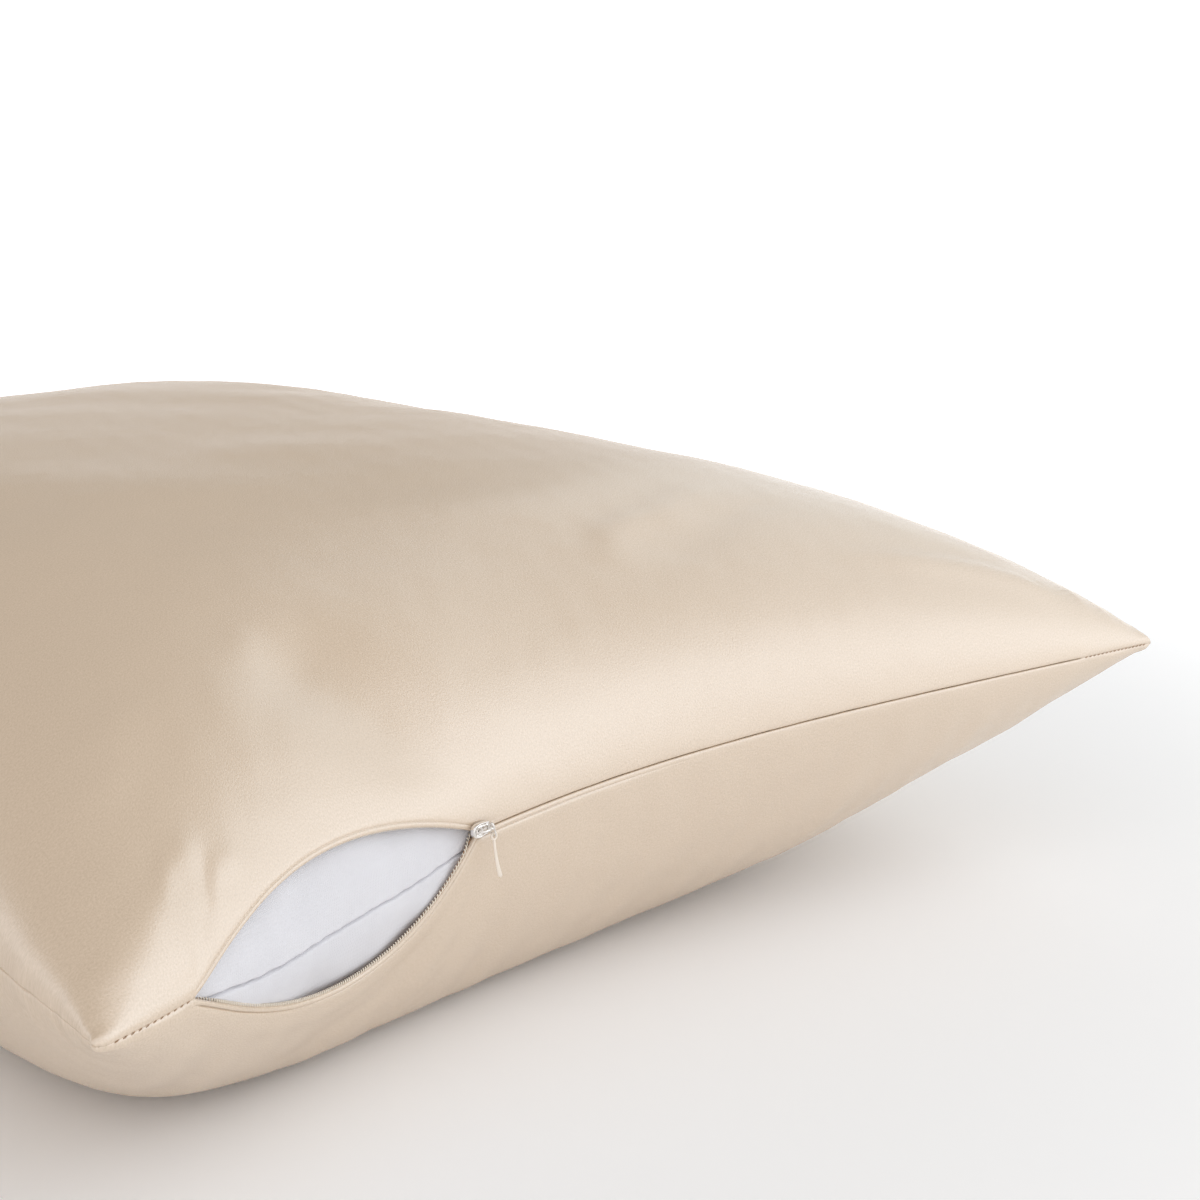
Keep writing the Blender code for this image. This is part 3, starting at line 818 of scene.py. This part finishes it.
def make_link(material):
    turn = np.linspace(0, 2 * np.pi, 36, endpoint=False)
    straight = (LINK_LENGTH - LINK_WIDTH) / 2
    up = np.sin(turn) * LINK_WIDTH / 2 + np.sign(np.sin(turn)) * straight
    out = np.cos(turn) * LINK_WIDTH / 2
    up = up + LINK_TOP - LINK_LENGTH / 2
    station = 0.0016 - 0.22 * (up - LINK_TOP)
    path = np.stack([station, up, BRIDGE_MIDDLE + out], -1)
    return tube("zip_link_wire", in_slider(path), 0.0003, material, closed=True)


def make_pull(material):
    """The pull: an eye on the link and a slim curved leaf below it."""
    eye = in_slider((0.0016 + 0.22 * LINK_LENGTH, LINK_TOP - LINK_LENGTH, BRIDGE_MIDDLE))
    _, along, _, out = slider_axes()
    down = np.array([0.0, 0.0, -1.0])
    across = np.cross(out, down)
    turn = np.linspace(0, 2 * np.pi, 28, endpoint=False)[:, None]
    ring = eye + 0.00112 * (down * np.cos(turn) + across * np.sin(turn))
    loop = tube("pull_eye", ring, 0.0004, material, closed=True, sides=10)
    way = np.linspace(0, 1, 26)
    width = 0.0005 + 0.0005 * way**1.4
    width = width * np.sqrt(np.clip(1 - np.clip((way - 0.92) / 0.08, 0, 1) ** 2, 0.02, 1))
    turns = np.linspace(0, 2 * np.pi, 12, endpoint=False)
    bend = PULL_LEAN * way[:, None] + PULL_CURVE * way[:, None] ** 2
    centre = eye + down * (0.0014 + PULL_LENGTH * way[:, None]) + across * bend
    ring = (
        across * (width[:, None] * np.cos(turns))[..., None]
        + out * (np.minimum(width, 0.00038)[:, None] * np.sin(turns))[..., None]
    )
    points = centre[:, None, :] + ring
    faces = []
    for k in range(25):
        for n in range(12):
            faces.append((k * 12 + n, k * 12 + (n + 1) % 12, (k + 1) * 12 + (n + 1) % 12, (k + 1) * 12 + n))
    faces.append(tuple(range(12))[::-1])
    faces.append(tuple(range(25 * 12, 26 * 12)))
    leaf = make_mesh("pull_leaf", points, faces, material)
    return joined("zip_pull_leaf", [loop, leaf])


def make_stitches(name, distances, material):
    """A line of sewing thread showing in the seam, one short stitch after another."""
    pieces = []
    for k, distance in enumerate(distances):
        ends = seam_shares([distance, distance + 0.0016])
        line = cloth(CROWN, np.linspace(ends[0], ends[1], 5), -1.0, parting=0.0)
        line[:, 1] -= 0.0006 + 0.0003 * np.sin(np.linspace(0, np.pi, 5))
        line[:, 2] += np.linspace(-0.0003, 0.0003, 5)
        pieces.append(tube(f"stitch_{k}", line, 0.00016, material, sides=6))
    return joined(name, pieces)


# ---------------------------------------------------------------- camera, floor and light

CAMERA_TARGET = Vector((0.1252, -0.1473, 0.0949))
CAMERA_AZIMUTH = 43.13
CAMERA_ELEVATION = 14.33
CAMERA_DISTANCE = 0.8784
CAMERA_LENS = 58.34


def make_camera():
    azimuth, elevation = np.radians(CAMERA_AZIMUTH), np.radians(CAMERA_ELEVATION)
    back = Vector(
        (
            -np.sin(azimuth) * np.cos(elevation),
            -np.cos(azimuth) * np.cos(elevation),
            np.sin(elevation),
        )
    )
    data = bpy.data.cameras.new("camera")
    data.lens = CAMERA_LENS
    data.sensor_width = 36.0
    data.clip_start = 0.01
    camera = bpy.data.objects.new("camera", data)
    bpy.context.scene.collection.objects.link(camera)
    camera.location = CAMERA_TARGET + back * CAMERA_DISTANCE
    camera.rotation_euler = (-back).to_track_quat("-Z", "Y").to_euler()
    bpy.context.scene.camera = camera


# Painted light: the floor's glow rises from none at FLOOR_NEAR to FLOOR_GLOW at FLOOR_FAR from the middle
# of the case
FLOOR_NEAR = 0.40
FLOOR_FAR = 1.10
FLOOR_GLOW = 0.55


def make_floor():
    """A pale floor that glows with painted light, none near the case and more further off, so it pales to
    white with no edge in sight.
    """
    material, tree, shader = new_material("pale_floor")
    place = add_node(tree, "ShaderNodeTexCoord")
    away = add_node(tree, "ShaderNodeVectorMath", operation="LENGTH")
    tree.links.new(place.outputs["Object"], away.inputs[0])
    # Painted light: emission on the floor, stronger away from the case
    glow = add_node(tree, "ShaderNodeMapRange", interpolation_type="SMOOTHSTEP")
    glow.inputs["From Min"].default_value = FLOOR_NEAR
    glow.inputs["From Max"].default_value = FLOOR_FAR
    glow.inputs["To Max"].default_value = FLOOR_GLOW
    tree.links.new(away.outputs["Value"], glow.inputs["Value"])
    tree.links.new(glow.outputs["Result"], shader.inputs["Emission Strength"])
    shader.inputs["Emission Color"].default_value = (1.0, 1.0, 1.0, 1.0)
    shader.inputs["Base Color"].default_value = (0.95, 0.955, 0.965, 1.0)
    shader.inputs["Roughness"].default_value = 0.9
    size = 6.0
    corners = [(-size, -size, 0), (size, -size, 0), (size, size, 0), (-size, size, 0)]
    floor = make_mesh("floor", [(x, y, -0.0002) for x, y, _ in corners], [(0, 1, 2, 3)], material)


def make_softbox(name, azimuth, elevation, distance, width, height, power, colour):
    """A large soft light that faces the middle of the case."""
    data = bpy.data.lights.new(name, "AREA")
    data.shape = "RECTANGLE"
    data.size, data.size_y = width, height
    data.energy = power
    data.color = colour
    light = bpy.data.objects.new(name, data)
    bpy.context.scene.collection.objects.link(light)
    turn, tilt = np.radians(azimuth), np.radians(elevation)
    way = Vector((np.sin(turn) * np.cos(tilt), -np.cos(turn) * np.cos(tilt), np.sin(tilt)))
    light.location = way * distance + Vector((0.0, 0.0, 0.09))
    light.rotation_euler = (-way).to_track_quat("-Z", "Y").to_euler()


def make_world():
    """A pale studio whose wall behind the case is left darker above the horizon."""
    world = bpy.data.worlds.new("studio")
    world.use_nodes = True
    tree = world.node_tree
    background = tree.nodes["Background"]
    place = add_node(tree, "ShaderNodeTexCoord")
    split = add_node(tree, "ShaderNodeSeparateXYZ")
    tree.links.new(place.outputs["Generated"], split.inputs["Vector"])

    height = add_node(tree, "ShaderNodeMapRange", interpolation_type="SMOOTHSTEP")
    height.inputs["From Min"].default_value = 0.05
    height.inputs["From Max"].default_value = 0.13
    tree.links.new(split.outputs["Z"], height.inputs["Value"])

    behind = add_node(tree, "ShaderNodeVectorMath", operation="DOT_PRODUCT")
    behind.inputs[1].default_value = DARK_SIDE
    tree.links.new(place.outputs["Generated"], behind.inputs[0])
    turn = add_node(tree, "ShaderNodeMapRange", interpolation_type="SMOOTHSTEP")
    turn.inputs["From Min"].default_value = -0.2
    turn.inputs["From Max"].default_value = 0.5
    tree.links.new(behind.outputs["Value"], turn.inputs["Value"])

    both = add_node(tree, "ShaderNodeMath", operation="MULTIPLY")
    tree.links.new(height.outputs["Result"], both.inputs[0])
    tree.links.new(turn.outputs["Result"], both.inputs[1])
    tree.links.new(
        blend_colours(tree, both.outputs["Value"], STUDIO_LIGHT, STUDIO_DARK),
        background.inputs["Color"],
    )
    bpy.context.scene.world = world


DARK_SIDE = (0.30, 0.85, 0.43)
STUDIO_LIGHT = (1.17, 1.17, 1.185, 1.0)
STUDIO_DARK = (0.495, 0.450, 0.400, 1.0)


def main():
    bpy.context.scene.view_settings.view_transform = "Standard"
    make_camera()
    make_floor()
    make_world()
    make_softbox("softbox", 73.0, 30.0, 1.6, 4.4, 1.75, 16.6, (0.79, 0.91, 1.0))

    satin = satin_material()
    cotton = cotton_material()
    # The zip tape's deep copper brown is partly its own colour and partly painted shade: it shows through
    # the closed zip's seam as that seam's shadow line.
    tape = thread_material("zip_tape_copper_shade", (0.66, 0.40, 0.24, 1), (0.54, 0.31, 0.18, 1), 0.8, 2500.0)
    nylon = thread_material("zip_nylon", (0.86, 0.79, 0.68, 1), (0.80, 0.71, 0.59, 1), 0.4, 1500.0)
    brown = thread_material("sewing_thread", (0.40, 0.26, 0.16, 1), (0.26, 0.15, 0.09, 1), 0.8, 4000.0)
    plated = metal_material("plated_metal", (0.82, 0.79, 0.76, 1.0), 1.0, 0.18)
    lacquered = metal_material("cream_lacquer", (0.82, 0.73, 0.63, 1.0), 0.25, 0.3)

    upper = make_panel(
        "case_upper_cloth", CROWN, UPPER_LIP, UPPER_FOLD, upper_shape, satin, 120, 120, 130
    )
    lower = make_panel(
        "case_lower_cloth", BELLY, LOWER_LIP, LOWER_FOLD, lower_shape, satin, 120, 120, 130
    )
    pillow = make_pillow(cotton)
    # Both tapes carry the copper brown of painted shade that shows through the closed seam.
    tape_upper = make_tape("zip_tape_upper_copper_shade", CROWN, UPPER_LIP, tape)
    tape_lower = make_tape("zip_tape_lower_copper_shade", BELLY, LOWER_LIP, tape)
    coil_upper = make_coil("zip_coil_upper_turns", CROWN, UPPER_LIP, nylon, -0.0004, 0.0009)
    coil_lower = make_coil("zip_coil_lower_turns", BELLY, LOWER_LIP, nylon, 0.00035, 0.0001)
    slider = make_slider(plated)
    link = make_link(plated)
    pull = make_pull(lacquered)
    stitches = make_stitches("seam_stitches", np.arange(0.004, 0.0325, 0.0026), brown)
    far_stitches = make_stitches(
        "far_seam_stitches", np.arange(SHORT_SEAM + MOUTH + ZIP_CLOSED + 0.001, 0.492, 0.0026), brown
    )

    stands_for = (
        (upper, "case_upper", "satin"),
        (lower, "case_lower", "satin"),
        (pillow, "pillow", "pillow_cotton"),
        (tape_upper, "zip_tape_upper", "zip_tape"),
        (tape_lower, "zip_tape_lower", "zip_tape"),
        (coil_upper, "zip_coil_upper", "zip_coil"),
        (coil_lower, "zip_coil_lower", "zip_coil"),
        (slider, "zip_slider", "zip_metal"),
        (link, "zip_link", "zip_metal"),
        (pull, "zip_pull", "zip_pull_metal"),
    )
    for piece, node, slot in stands_for:
        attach(piece, "root")
        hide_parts(node)
    for piece in (stitches, far_stitches):
        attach(piece, "root")


main()
